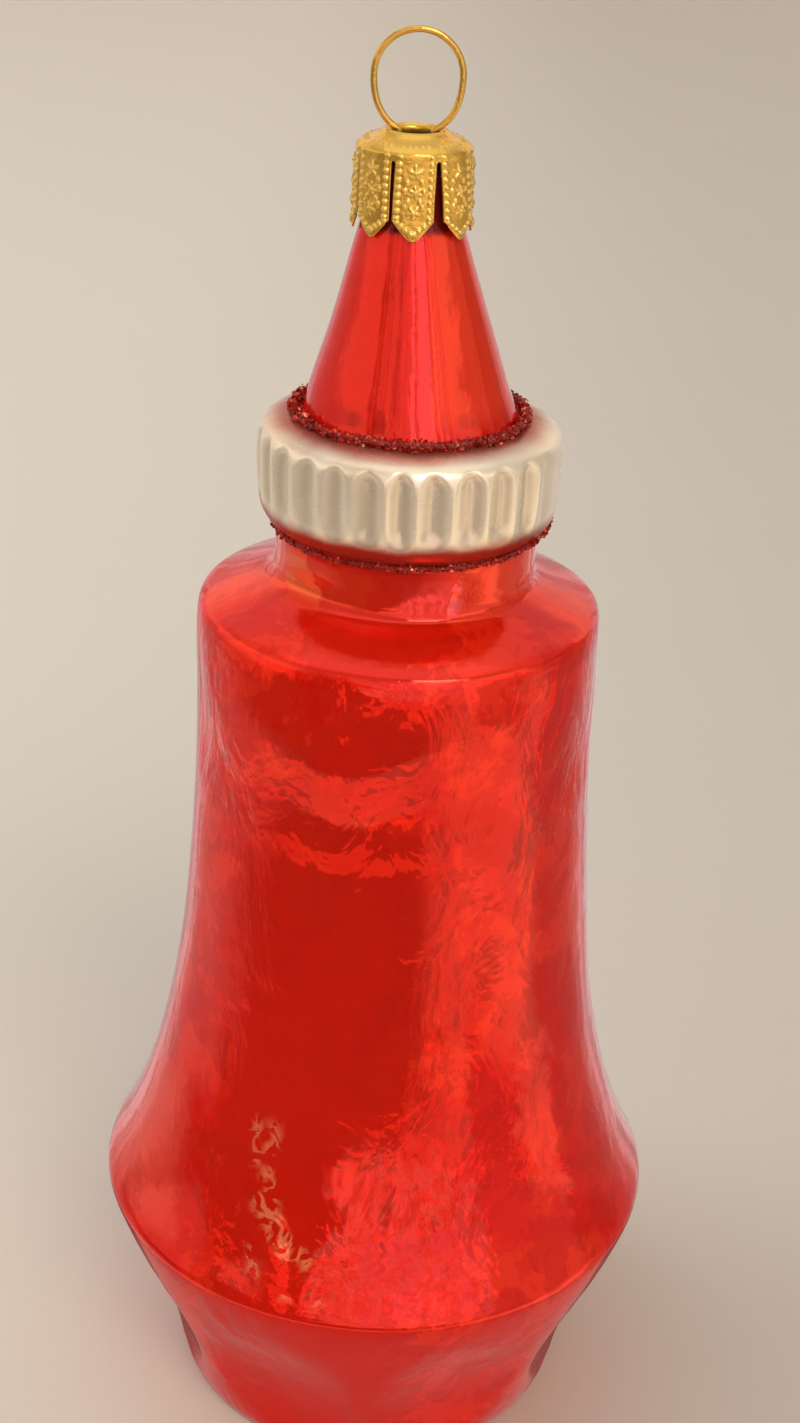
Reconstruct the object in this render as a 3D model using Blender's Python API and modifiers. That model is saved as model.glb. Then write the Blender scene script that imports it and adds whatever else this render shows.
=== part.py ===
"""Glass tree ornament in the shape of a squeeze ketchup bottle.

One mouth-blown glass body with a fluted foot, a flared side, a ribbed collar and a
cone nozzle, a stamped crown cap over its open end, a wire hanging loop in the cap,
and a line of glitter at each edge of the collar. Metres, +Z up. The origin is the
centre of the foot's flat underside, and the front faces -Y.
"""
import math
import random

import bmesh
import bpy

MM = 0.001

# Driving heights, above the flat underside.
CREST_Z = 23.6 * MM
SHOULDER_Z = 85.8 * MM
NECK_Z = 88.1 * MM
COLLAR_BOTTOM_Z = 93.75 * MM
COLLAR_SIDE_TOP_Z = 100.2 * MM
COLLAR_TOP_Z = 102.95 * MM
CONE_Z = 104.7 * MM
CONE_TOP_Z = 119.1 * MM
GLASS_TOP_Z = 125.0 * MM
CAP_TOP_Z = 127.0 * MM
LOOP_CENTRE_Z = 131.85 * MM

# Driving radii of the glass.
FOOT_R = 19.9 * MM
CREST_R = 27.75 * MM
WAIST_R = 17.87 * MM
SHOULDER_R = 18.3 * MM
NECK_R = 11.75 * MM
COLLAR_R = 13.56 * MM
CONE_R = 9.1 * MM
CONE_TOP_R = 4.68 * MM
THROAT_R = 4.1 * MM

# The side falls away from the crest to the waist.
FLARE = 9.75 * MM
FLARE_LENGTH = 17.5 * MM
FLARE_START_Z = 26.4 * MM
FLARE_END_Z = SHOULDER_Z - 3.5 * MM
SIDE_POINTS = 9
SIDE_CROWDING = 1.35

# Roundings.
RIM_ROUND = 1.3 * MM
CREST_ROUND = 2.0 * MM
SHOULDER_ROUND = 2.2 * MM
FILLET_ROUND = 0.9 * MM
COLLAR_LOW_ROUND = 1.33 * MM
COLLAR_TOP_ROUND = 2.1 * MM
FOOT_HOLLOW = 0.2 * MM
CONE_HOLLOW = 0.13 * MM
THROAT_EDGE = 0.4 * MM
THROAT_FILLET = [(0.1 * MM, 0.75 * MM), (0.35 * MM, 0.3 * MM)]
CONE_TOP_EDGE = 0.1 * MM
COLLAR_TOP_FALL = 0.75 * MM
COLLAR_LOW_FALL = 0.1 * MM
GROOVE_FALL = 0.2 * MM
RIM_INSET = 0.5 * MM

# Flutes.
FOOT_FLUTES = 8
FOOT_FLUTE_DEPTH = 1.3 * MM
FOOT_FLUTE_MID_Z = 9.6 * MM
FOOT_FLUTE_HALF_LENGTH = 8.7 * MM
FOOT_CUTTER_HALF_LENGTH = 10.875 * MM
FOOT_CUTTER_HALF_WIDTH = 9.625 * MM
COLLAR_FLUTES = 28
COLLAR_FLUTE_DEPTH = 0.42 * MM
COLLAR_FLUTE_MID_Z = 98.5 * MM
COLLAR_FLUTE_HALF_LENGTH = 3.7 * MM
COLLAR_CUTTER_HALF_LENGTH = 4.144 * MM
COLLAR_CUTTER_HALF_WIDTH = 1.495 * MM

# Grooves in the glass that hold the glitter, and the two rings of it.
UPPER_GROOVE_R = 9.0 * MM
UPPER_GROOVE_OUTER_R = 11.05 * MM
UPPER_GROOVE_Z = 102.55 * MM
LOWER_GROOVE_R = 11.2 * MM
LOWER_GROOVE_Z = 92.15 * MM
UPPER_GLITTER = {"radius": 9.95 * MM, "z": 103.5 * MM, "thickness": 0.57 * MM, "seed": 3}
LOWER_GLITTER = {"radius": 12.0 * MM, "z": 92.95 * MM, "thickness": 0.38 * MM, "seed": 5}
GLITTER_ROUGH = 0.07 * MM
GLITTER_SIDES = 6

# Crown cap.
CAP_WALL = 0.25 * MM
CAP_R = 4.95 * MM
CAP_SKIRT_R = 5.1 * MM
CAP_BEVEL = 0.55 * MM
CAP_CROWN = 0.35 * MM
CAP_HOLE_R = 2.12 * MM
CAP_LIP_HEIGHT = 0.32 * MM
CAP_LIP_WIDTH = 0.75 * MM
TONGUES = 8
TONGUE_TIP_Z = 119.45 * MM
TONGUE_SHOULDER_Z = 120.9 * MM
SLOT_TOP_Z = 125.2 * MM
SLOT_ROUND = 0.15 * MM
SLOT_WIDTH = 0.42 * MM
SLOT_CUT_DEPTH = 1.4 * MM
TIP_WIDTH = 0.5 * MM
TIP_CLEARANCE = 1.0 * MM

# Wire loop.
WIRE_R = 0.3 * MM
LOOP_R = 3.78 * MM
LOOP_ENTRY = (1.52 * MM, 127.35 * MM)
LOOP_PULL_UP = (LOOP_R, LOOP_CENTRE_Z - 2.4 * MM)
LOOP_PULL_DOWN = (2.85 * MM, 128.0 * MM)
LOOP_SIDE_STEPS = 8
LOOP_RING_STEPS = 16
LEG_LEAN = 0.05 * MM
LEG_END_Z = 125.5 * MM

GLASS_STEPS = 42
CAP_STEPS = 40
GLITTER_STEPS = 54
MERGE_DISTANCE = 0.01 * MM


def material(name, colour, metallic, roughness):
    """A Principled BSDF of one colour."""
    made = bpy.data.materials.new(name)
    made.use_nodes = True
    shader = made.node_tree.nodes["Principled BSDF"]
    shader.inputs["Base Color"].default_value = (*colour, 1.0)
    shader.inputs["Metallic"].default_value = metallic
    shader.inputs["Roughness"].default_value = roughness
    return made


def add(name, mesh, collection, finish=None):
    """A named object of a mesh, in a collection, with a material."""
    made = bpy.data.objects.new(name, mesh)
    collection.objects.link(made)
    if finish:
        mesh.materials.append(finish)
    return made


def soft_corner(before, corner, after, radius, steps):
    """An arc of the given radius that rounds the corner between two straight lines."""
    ax, az = before[0] - corner[0], before[1] - corner[1]
    bx, bz = after[0] - corner[0], after[1] - corner[1]
    a_len, b_len = math.hypot(ax, az), math.hypot(bx, bz)
    ax, az, bx, bz = ax / a_len, az / a_len, bx / b_len, bz / b_len
    half = math.acos(max(-1.0, min(1.0, ax * bx + az * bz))) / 2
    reach = radius / math.tan(half)
    mx, mz = ax + bx, az + bz
    m_len = math.hypot(mx, mz)
    cx = corner[0] + mx / m_len * radius / math.sin(half)
    cz = corner[1] + mz / m_len * radius / math.sin(half)
    start = math.atan2(corner[1] + az * reach - cz, corner[0] + ax * reach - cx)
    end = math.atan2(corner[1] + bz * reach - cz, corner[0] + bx * reach - cx)
    turn = (end - start + math.pi) % (2 * math.pi) - math.pi
    angles = [start + turn * i / steps for i in range(steps + 1)]
    return [(cx + radius * math.cos(a), cz + radius * math.sin(a)) for a in angles]


def side_radius(z):
    """Radius of the flared side at a height: the waist plus a flare that dies away."""
    return WAIST_R + FLARE * math.exp(-(z - CREST_Z) / FLARE_LENGTH)


def throat_and_cone():
    """The closed throat under the cap and the cone nozzle below it, as (r, z)."""
    throat = [(0.0, GLASS_TOP_Z), (THROAT_R - THROAT_EDGE, GLASS_TOP_Z), (THROAT_R, GLASS_TOP_Z - THROAT_EDGE)]
    fillet = [(THROAT_R + out, CONE_TOP_Z + up) for out, up in THROAT_FILLET]
    middle = ((CONE_R + CONE_TOP_R) / 2 - CONE_HOLLOW, (CONE_Z + CONE_TOP_Z) / 2)
    return throat + fillet + [(CONE_TOP_R, CONE_TOP_Z - CONE_TOP_EDGE), middle, (CONE_R, CONE_Z)]


def grooved_collar():
    """The collar between the two grooves that hold the glitter, from the top down, as (r, z)."""
    upper_groove = [(UPPER_GROOVE_R, CONE_Z - GROOVE_FALL), (UPPER_GROOVE_R, UPPER_GROOVE_Z),
                    (UPPER_GROOVE_OUTER_R, UPPER_GROOVE_Z), (UPPER_GROOVE_OUTER_R, COLLAR_TOP_Z)]
    side_top = (COLLAR_R, COLLAR_SIDE_TOP_Z)
    top_edge = (COLLAR_R, COLLAR_TOP_Z - COLLAR_TOP_FALL)
    low_edge = (COLLAR_R, COLLAR_BOTTOM_Z)
    underside = (NECK_R, COLLAR_BOTTOM_Z - COLLAR_LOW_FALL)
    collar = soft_corner(upper_groove[-1], top_edge, side_top, COLLAR_TOP_ROUND, 5)
    collar += soft_corner(side_top, low_edge, underside, COLLAR_LOW_ROUND, 4)
    lower_groove = [(LOWER_GROOVE_R, COLLAR_BOTTOM_Z), (LOWER_GROOVE_R, LOWER_GROOVE_Z),
                    (NECK_R, LOWER_GROOVE_Z - GROOVE_FALL)]
    return upper_groove + collar + lower_groove


def shoulder_and_side():
    """The neck's foot, the rounded shoulder and the flared side down to its start, as (r, z)."""
    neck_foot = (NECK_R, NECK_Z)
    shoulder_edge = (SHOULDER_R, SHOULDER_Z)
    shoulder = soft_corner((NECK_R, LOWER_GROOVE_Z), neck_foot, shoulder_edge, FILLET_ROUND, 3)
    shoulder += soft_corner(neck_foot, shoulder_edge, (SHOULDER_R, FLARE_END_Z), SHOULDER_ROUND, 4)
    span = FLARE_END_Z - FLARE_START_Z
    shares = [(1 - i / (SIDE_POINTS - 1)) ** SIDE_CROWDING for i in range(SIDE_POINTS)]
    heights = [FLARE_START_Z + span * share for share in shares]
    return shoulder + [(side_radius(z), z) for z in heights]


def crest_and_foot(side_end):
    """The crest and the slightly hollow foot below it, to the centre of the underside, as (r, z)."""
    crest = soft_corner(side_end, (CREST_R, CREST_Z), (FOOT_R, RIM_ROUND), CREST_ROUND, 4)
    top_r, top_z = crest[-1]
    foot = []
    for i in range(1, 5):
        t = i / 5
        hollow = FOOT_HOLLOW * 4 * t * (1 - t)
        foot.append((top_r + (FOOT_R - top_r) * t - hollow, top_z * (1 - t) + RIM_ROUND * t))
    rim = soft_corner(foot[-1], (FOOT_R - RIM_INSET, 0.0), (0.0, 0.0), RIM_ROUND, 3)
    return crest + foot + rim + [(0.0, 0.0)]


def glass_outline():
    """The glass from the top of its throat to the centre of its underside, as (r, z)."""
    upper = throat_and_cone() + grooved_collar() + shoulder_and_side()
    return upper + crest_and_foot(upper[-1])


def turned(name, outline, steps, collection, finish=None):
    """A (r, z) outline turned about Z by a Screw modifier."""
    mesh = bpy.data.meshes.new(name)
    mesh.from_pydata([(r, 0.0, z) for r, z in outline], [(i, i + 1) for i in range(len(outline) - 1)], [])
    made = add(name, mesh, collection, finish)
    screw = made.modifiers.new("turn", "SCREW")
    screw.steps = steps
    screw.render_steps = steps
    screw.use_merge_vertices = True
    screw.merge_threshold = MERGE_DISTANCE
    screw.use_smooth_shade = True
    return made


def as_cutter(made):
    """Marks an object as a guide that is not part of the ornament."""
    made.hide_render = True
    made.display_type = "WIRE"
    return made


def egg(half_depth, half_width, half_length, segments, rings):
    """A sphere stretched to the given half sizes, as a mesh."""
    shape = bmesh.new()
    bmesh.ops.create_uvsphere(shape, u_segments=segments, v_segments=rings, radius=1.0)
    bmesh.ops.scale(shape, vec=(half_depth, half_width, half_length), verts=shape.verts)
    mesh = bpy.data.meshes.new("egg")
    shape.to_mesh(mesh)
    shape.free()
    return mesh


def egg_half_depth(depth, half_length, cutter_half_length):
    """Half depth of an egg that leaves a hollow of this depth and half length in a flat side."""
    sink = math.sqrt(1 - (half_length / cutter_half_length) ** 2)
    return depth / (1 - sink)


def ring_of_cutters(count, first, mesh, radius, z, lean, collection, name):
    """Copies of a cutter round the axis, each leaning out with the side that it cuts."""
    for i in range(count):
        angle = first + math.tau * i / count
        cutter = as_cutter(add(f"{name}_{i + 1:02d}", mesh, collection))
        cutter.location = (radius * math.cos(angle), radius * math.sin(angle), z)
        cutter.rotation_euler = (0.0, lean, angle)


def cut_with(target, collection):
    """Takes every cutter of a collection away from the target."""
    cut = target.modifiers.new("cut", "BOOLEAN")
    cut.operation = "DIFFERENCE"
    cut.operand_type = "COLLECTION"
    cut.collection = collection
    cut.solver = "EXACT"


def new_collection(name, parent):
    """A named collection inside another one."""
    made = bpy.data.collections.new(name)
    parent.children.link(made)
    return made


def glitter_ring(name, line, collection, finish):
    """A thin ring of glitter with a craggy surface."""
    radius, z, thickness = line["radius"], line["z"], line["thickness"]
    draw = random.Random(line["seed"])
    turns = [math.tau * -i / GLITTER_SIDES for i in range(GLITTER_SIDES)]
    outline = [(radius + thickness * math.cos(a), 0.0, z + thickness * math.sin(a)) for a in turns]
    mesh = bpy.data.meshes.new(name)
    mesh.from_pydata(outline, [(i, (i + 1) % GLITTER_SIDES) for i in range(GLITTER_SIDES)], [])
    guide = add(name + "_guide", mesh, collection)
    screw = guide.modifiers.new("turn", "SCREW")
    screw.steps = GLITTER_STEPS
    screw.render_steps = GLITTER_STEPS
    screw.use_merge_vertices = True
    screw.merge_threshold = MERGE_DISTANCE
    bpy.context.view_layer.update()
    evaluated = guide.evaluated_get(bpy.context.evaluated_depsgraph_get())
    craggy = bpy.data.meshes.new_from_object(evaluated)
    bpy.data.objects.remove(guide)
    for vertex in craggy.vertices:
        scale = 1 + GLITTER_ROUGH * draw.uniform(-1.0, 1.0) / thickness
        angle = math.atan2(vertex.co.y, vertex.co.x)
        spine_x, spine_y = radius * math.cos(angle), radius * math.sin(angle)
        vertex.co.x = spine_x + (vertex.co.x - spine_x) * scale
        vertex.co.y = spine_y + (vertex.co.y - spine_y) * scale
        vertex.co.z = z + (vertex.co.z - z) * scale
    return add(name, craggy, collection, finish)


def cap_outline():
    """The cap's outer face from its hole's lip to the foot of its tongues, as (r, z)."""
    lip_in, lip_out = CAP_HOLE_R + CAP_LIP_WIDTH * 0.3, CAP_HOLE_R + CAP_LIP_WIDTH * 0.65
    lip_z = CAP_TOP_Z + CAP_LIP_HEIGHT
    lip = [(CAP_HOLE_R, CAP_TOP_Z), (lip_in, lip_z), (lip_out, lip_z)]
    lip.append((CAP_HOLE_R + CAP_LIP_WIDTH, CAP_TOP_Z))
    edge = (CAP_R, CAP_TOP_Z - CAP_CROWN)
    rim = soft_corner((CAP_HOLE_R, CAP_TOP_Z), edge, (CAP_R, TONGUE_TIP_Z), CAP_BEVEL, 4)
    return lip + rim + [(CAP_R, SLOT_TOP_Z), (CAP_SKIRT_R, TONGUE_TIP_Z)]


def tongue_cutter(collection):
    """The flat outline that leaves a slot and half a point on each side of it, as a mesh."""
    half_slot = SLOT_WIDTH / 2
    half_pitch = CAP_SKIRT_R * math.sin(math.pi / TONGUES) - TIP_WIDTH / 2
    half = [(half_slot, SLOT_TOP_Z - SLOT_ROUND), (half_slot, TONGUE_SHOULDER_Z),
            (half_pitch, TONGUE_TIP_Z), (half_pitch, TONGUE_TIP_Z - TIP_CLEARANCE)]
    outline = [(0.0, SLOT_TOP_Z)] + half + [(-y, z) for y, z in reversed(half)]
    curve = bpy.data.curves.new("tongue_cutter", "CURVE")
    curve.dimensions = "2D"
    curve.fill_mode = "BOTH"
    curve.extrude = SLOT_CUT_DEPTH
    spline = curve.splines.new("POLY")
    spline.points.add(len(outline) - 1)
    for point, (y, z) in zip(spline.points, outline):
        point.co = (y, z, 0.0, 1.0)
    spline.use_cyclic_u = True
    flat = add("tongue_outline", curve, collection)
    bpy.context.view_layer.update()
    evaluated = flat.evaluated_get(bpy.context.evaluated_depsgraph_get())
    mesh = bpy.data.meshes.new_from_object(evaluated)
    bpy.data.objects.remove(flat)
    shape = bmesh.new()
    shape.from_mesh(mesh)
    bmesh.ops.remove_doubles(shape, verts=shape.verts, dist=MERGE_DISTANCE)
    shape.to_mesh(mesh)
    shape.free()
    return mesh


def loop_path():
    """The wire's centre line: up from one leg, round the ring and down the other leg, as (x, z)."""
    corners = ((LOOP_R, LOOP_CENTRE_Z), LOOP_PULL_UP, LOOP_PULL_DOWN, LOOP_ENTRY)
    side = []
    for i in range(1, LOOP_SIDE_STEPS + 1):
        t = i / LOOP_SIDE_STEPS
        weights = ((1 - t) ** 3, 3 * t * (1 - t) ** 2, 3 * t * t * (1 - t), t ** 3)
        side.append(tuple(sum(w * c[k] for w, c in zip(weights, corners)) for k in (0, 1)))
    side.append((LOOP_ENTRY[0] - LEG_LEAN, LEG_END_Z))
    turns = [math.pi * i / LOOP_RING_STEPS for i in range(LOOP_RING_STEPS + 1)]
    ring = [(LOOP_R * math.cos(a), LOOP_CENTRE_Z + LOOP_R * math.sin(a)) for a in turns]
    return list(reversed(side)) + ring + [(-x, z) for x, z in side]


def wire_loop(collection, finish):
    """The hanging loop: one round wire bent in the plane that faces the front."""
    curve = bpy.data.curves.new("wire_loop", "CURVE")
    curve.dimensions = "3D"
    curve.bevel_depth = WIRE_R
    curve.bevel_resolution = 2
    curve.use_fill_caps = True
    path = loop_path()
    spline = curve.splines.new("POLY")
    spline.points.add(len(path) - 1)
    for point, (x, z) in zip(spline.points, path):
        point.co = (x, 0.0, z, 1.0)
    return add("wire_loop", curve, collection, finish)


for old in list(bpy.data.objects):
    bpy.data.objects.remove(old, do_unlink=True)

ornament = new_collection("ketchup_bottle_ornament", bpy.context.scene.collection)
cutters = new_collection("cutters", bpy.context.scene.collection)
foot_cutters = new_collection("foot_cutters", cutters)
collar_cutters = new_collection("collar_cutters", cutters)
cap_cutters = new_collection("cap_cutters", cutters)

red_glass = material("red_mirror_glass", (0.62, 0.03, 0.02), 0.9, 0.12)
gold = material("gold_cap", (0.83, 0.58, 0.18), 1.0, 0.28)
gold_wire = material("gold_wire", (0.75, 0.52, 0.2), 1.0, 0.2)
glitter = material("maroon_glitter", (0.25, 0.02, 0.02), 0.6, 0.45)

glass = turned("glass_bottle", glass_outline(), GLASS_STEPS, ornament, red_glass)

foot_slope = math.atan2(CREST_R - FOOT_R, CREST_Z - RIM_ROUND)
foot_egg_depth = egg_half_depth(FOOT_FLUTE_DEPTH, FOOT_FLUTE_HALF_LENGTH, FOOT_CUTTER_HALF_LENGTH)
foot_mid_share = (FOOT_FLUTE_MID_Z - RIM_ROUND) / (CREST_Z - RIM_ROUND)
foot_mid_r = FOOT_R + (CREST_R - FOOT_R) * foot_mid_share - FOOT_HOLLOW
foot_mesh = egg(foot_egg_depth, FOOT_CUTTER_HALF_WIDTH, FOOT_CUTTER_HALF_LENGTH, 20, 10)
foot_cutter_r = foot_mid_r + foot_egg_depth - FOOT_FLUTE_DEPTH
ring_of_cutters(FOOT_FLUTES, math.pi / FOOT_FLUTES, foot_mesh, foot_cutter_r, FOOT_FLUTE_MID_Z,
                foot_slope, foot_cutters, "foot_flute")
cut_with(glass, foot_cutters)

collar_turn = math.tau / GLASS_STEPS / 4
collar_egg_depth = egg_half_depth(COLLAR_FLUTE_DEPTH, COLLAR_FLUTE_HALF_LENGTH, COLLAR_CUTTER_HALF_LENGTH)
collar_mesh = egg(collar_egg_depth, COLLAR_CUTTER_HALF_WIDTH, COLLAR_CUTTER_HALF_LENGTH, 10, 8)
collar_cutter_r = COLLAR_R + collar_egg_depth - COLLAR_FLUTE_DEPTH
ring_of_cutters(COLLAR_FLUTES, collar_turn, collar_mesh, collar_cutter_r, COLLAR_FLUTE_MID_Z,
                0.0, collar_cutters, "collar_flute")
cut_with(glass, collar_cutters)

glitter_ring("glitter_upper", UPPER_GLITTER, ornament, glitter)
glitter_ring("glitter_lower", LOWER_GLITTER, ornament, glitter)

cap = turned("crown_cap", cap_outline(), CAP_STEPS, ornament, gold)
wall = cap.modifiers.new("wall", "SOLIDIFY")
wall.thickness = CAP_WALL
wall.offset = -1.0
slot_mesh = tongue_cutter(cap_cutters)
for i in range(TONGUES):
    angle = math.tau * (i + 0.5) / TONGUES
    cutter = as_cutter(add(f"tongue_gap_{i + 1}", slot_mesh, cap_cutters))
    cutter.location = (CAP_R * math.sin(angle), -CAP_R * math.cos(angle), 0.0)
    cutter.rotation_euler = (math.pi / 2, 0.0, angle)
cut_with(cap, cap_cutters)

wire_loop(ornament, gold_wire)
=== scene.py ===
"""Looks of a blown glass tree ornament in the shape of a squeeze ketchup bottle.

The sections follow the ornament as it is put together: the silvered glass, the two lines
of glitter, the stamped crown cap and the wire loop, then the table, light and camera.
Metres, +Z up, the front faces -Y. Sizes are written in millimetres and multiplied by MM.
"""

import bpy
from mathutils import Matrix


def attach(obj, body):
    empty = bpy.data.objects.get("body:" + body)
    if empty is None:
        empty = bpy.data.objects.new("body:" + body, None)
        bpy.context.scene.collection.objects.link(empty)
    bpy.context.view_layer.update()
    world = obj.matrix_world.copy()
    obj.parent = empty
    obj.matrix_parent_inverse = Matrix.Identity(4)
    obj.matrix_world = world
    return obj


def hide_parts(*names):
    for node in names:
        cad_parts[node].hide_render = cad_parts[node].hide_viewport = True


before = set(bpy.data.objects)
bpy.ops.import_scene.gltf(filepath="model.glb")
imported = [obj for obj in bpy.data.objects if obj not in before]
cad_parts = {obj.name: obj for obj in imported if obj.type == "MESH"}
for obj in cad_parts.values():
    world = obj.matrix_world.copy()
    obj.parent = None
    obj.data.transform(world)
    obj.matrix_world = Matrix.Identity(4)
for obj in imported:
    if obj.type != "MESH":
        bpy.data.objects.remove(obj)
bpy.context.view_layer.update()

import math

import bpy
import numpy as np
from mathutils import Quaternion

# The glass: one hollow body blown into a two-part mould, silvered inside and dipped in
# clear red lacquer outside. The ribbed collar is part of it, sprayed satin pearl over the
# lacquer. Here its outline is softened, turned, then dented by the flutes.

MM = 0.001
GLASS_COLUMNS = 504
GLASS_ROWS = 188
SIDE = {"waist": 17.87, "flare": 9.75, "length": 17.5, "crest_z": 23.6, "low_z": 26.6, "high_z": 82.4,
        "points": 24, "blur": 1.2}
FOOT_FLUTE = {"count": 8, "depth": 1.25, "mid_z": 9.6, "half_height": 8.7, "half_width": 0.9, "edge": 0.012}
RIB = {"count": 28, "depth": 0.62, "low_z": 95.2, "high_z": 102.2, "arch": 1.3, "turn": 0.67}
SEAM = {"right": 1.55, "left": -1.95}

# Sine waves round the axis: height, number in a turn, climb for each millimetre of z, and phase.
RIB_PLACE = [(0.012, 5.0, 0.0, 1.0), (0.008, 11.0, 0.0, 0.0)]
RIB_DEPTH = [(0.16, 3.0, 0.0, 0.6), (0.1, 7.0, 0.0, 2.0)]
BODY_WAVES = [(0.07, 2.0, 0.045, 0.7), (0.05, 3.0, -0.09, 2.1), (0.035, 5.0, 0.21, 0.0),
              (0.022, 8.0, -0.33, 1.3)]
SWELL_EDGE = [(1.0, 3.0, 0.0, 0.6), (0.7, 8.0, 0.0, 0.0)]

SWELL = {"z": 79.2, "droop": 3.0, "rise": 9.0, "fall": 7.0, "height": 0.85}
NECK = {"mid_z": 90.6, "leans": [(0.16, -0.75, 0.42), (-0.13, 0.2, 0.3)]}
STRAY = {"collar": 0.32, "cap": -0.42}

# The outline, from the top of the throat down to the middle of the underside: radius, height, and
# how far the corner there is blurred.
THROAT = [(0.0, 122.0, 0.1), (3.1, 122.0, 0.3), (3.25, 124.6, 0.15), (3.65, 125.0, 0.15), (4.1, 124.6, 0.15),
          (4.2, 121.0, 0.2)]
CONE = [(4.35, 120.0, 0.4), (4.64, 119.2, 0.4), (6.76, 111.9, 1.2), (9.1, 104.7, 0.8), (9.5, 103.4, 0.3),
        (9.65, 103.12, 0.25)]
COLLAR = [(11.05, 102.95, 0.6), (13.56, 102.2, 1.0), (13.56, 98.5, 1.0), (13.45, 96.0, 1.0),
          (13.1, 94.2, 0.8), (12.0, 93.5, 0.4), (11.78, 93.1, 0.2)]
NECK_AND_SHOULDER = [(11.75, 91.2, 0.5), (11.75, 88.3, 0.75), (13.6, 87.6, 0.7), (18.2, 85.8, 0.72)]
CREST_AND_FOOT = [(27.75, 23.6, 0.62), (27.0, 21.3, 0.8), (23.5, 11.6, 1.2), (19.9, 1.3, 0.6),
                  (19.35, 0.0, 0.5), (0.0, 0.0, 0.3)]


def flared_side(z):
    """Radius of the bottle's side: the waist plus a flare that dies away upwards, exponentially."""
    return SIDE["waist"] + SIDE["flare"] * np.exp(-(z - SIDE["crest_z"]) / SIDE["length"])


def softened(corners, spacing=0.06):
    """Straight runs through corners (r, z), averaged along them by a Gaussian as wide as the third value."""
    corners = np.array(corners, float)
    run = np.r_[0.0, np.cumsum(np.hypot(*np.diff(corners[:, :2], axis=0).T))]
    s = np.linspace(0.0, run[-1], int(run[-1] / spacing))
    points = np.stack([np.interp(s, run, corners[:, k]) for k in (0, 1)], axis=1)
    width = np.interp(s, run, corners[:, 2])[:, None]
    weight = np.exp(-((s[None, :] - s[:, None]) / width) ** 2 / 2)
    points[1:-1] = (weight @ points / weight.sum(axis=1, keepdims=True))[1:-1]
    return points


def thinned(points, rows, turn_share=1.2):
    """The same curve with fewer points, closer where it turns: equal steps of its length plus its turning."""
    step = np.diff(points, axis=0)
    length = np.hypot(*step.T)
    heading = np.unwrap(np.arctan2(step[:, 1], step[:, 0]))
    turn = np.abs(np.gradient(heading))
    cost = np.r_[0.0, np.cumsum(length / length.sum() + turn_share * turn / turn.sum())]
    at = np.interp(np.linspace(0.0, cost[-1], rows), cost, np.arange(len(points)))
    return np.stack([np.interp(at, np.arange(len(points)), points[:, k]) for k in (0, 1)], axis=1)


def smoothstep(x, low, high):
    """0 at low, 1 at high, flat beyond them, and an S-shaped cubic between. Low may be above high."""
    t = np.clip((x - low) / (high - low), 0.0, 1.0)
    return t * t * (3.0 - 2.0 * t)


def waves(series, angle, z=0.0):
    """Sum of sine waves round the axis: height times the sine of number x angle + climb x z + phase."""
    return sum(height * np.sin(number * angle + climb * z + phase) for height, number, climb, phase in series)


def foot_flutes(angle, z):
    """Depth of the foot's flutes: eight shallow ovals, a paraboloid each, with a slightly rounded edge."""
    u = 2.0 * ((angle / math.tau * FOOT_FLUTE["count"]) % 1.0) - 1.0
    v = (z - FOOT_FLUTE["mid_z"]) / FOOT_FLUTE["half_height"]
    inside = 1.0 - (u / FOOT_FLUTE["half_width"]) ** 2 - v ** 2
    rounded = (inside + np.sqrt(inside ** 2 + FOOT_FLUTE["edge"])) / 2.0
    return FOOT_FLUTE["depth"] * rounded * smoothstep(z, 0.2, 2.5)


def collar_flutes(angle, z):
    """Depth of the collar's flutes: a raised cosine between ridges, arched at the top, faint by the seams."""
    u = 2.0 * (((angle + waves(RIB_PLACE, angle)) / math.tau * RIB["count"] + RIB["turn"]) % 1.0) - 1.0
    arch = smoothstep(RIB["high_z"] - RIB["arch"] * u ** 2 - z, 0.0, 1.1)
    arch = arch * smoothstep(z, RIB["low_z"], RIB["low_z"] + 1.3)
    seam = 1.0 - 0.9 * smoothstep(np.cos(angle - SEAM["right"]), 0.80, 0.93)
    seam = seam - 0.8 * smoothstep(np.cos(angle - SEAM["left"]), 0.86, 0.96)
    groove = (0.5 + 0.5 * np.cos(math.pi * u)) ** 0.8
    return RIB["depth"] * groove * arch * (0.86 + waves(RIB_DEPTH, angle)) * seam


def angle_from(angle, middle):
    """Signed angle from a direction, between minus and plus half a turn."""
    return (angle - middle + math.pi) % math.tau - math.pi


def waviness(angle, z):
    """Slow unevenness of blown glass: sine waves, a swell below the shoulder's front, and a neck that leans.

    The swell rises along a wavy edge, widest at the front. Each lean is a Gaussian of the angle, in and
    out of the neck by a share of the height from its middle.
    """
    edge = SWELL["z"] + SWELL["droop"] * np.sin(angle) ** 2 + waves(SWELL_EDGE, angle)
    past_edge = np.clip((z - edge) / SWELL["fall"], 0.0, 1.0)
    swell = smoothstep(z, edge - SWELL["rise"], edge) * (1.0 - 0.7 * past_edge)
    swell = SWELL["height"] * swell * (0.5 + 0.5 * np.cos(angle)) ** 2 * smoothstep(z, 88.0, 85.5)
    lean = sum(slope * np.exp(-(angle_from(angle, middle) / width) ** 2)
               for slope, middle, width in NECK["leans"])
    neck = lean * (z - NECK["mid_z"]) * smoothstep(z, 88.2, 89.2) * smoothstep(z, 93.6, 92.6)
    calmer = 1.0 - 0.6 * smoothstep(z, 84.0, 92.0)
    return (waves(BODY_WAVES, angle, z) * calmer + swell) * smoothstep(z, 3.0, 12.0) + neck


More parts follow.
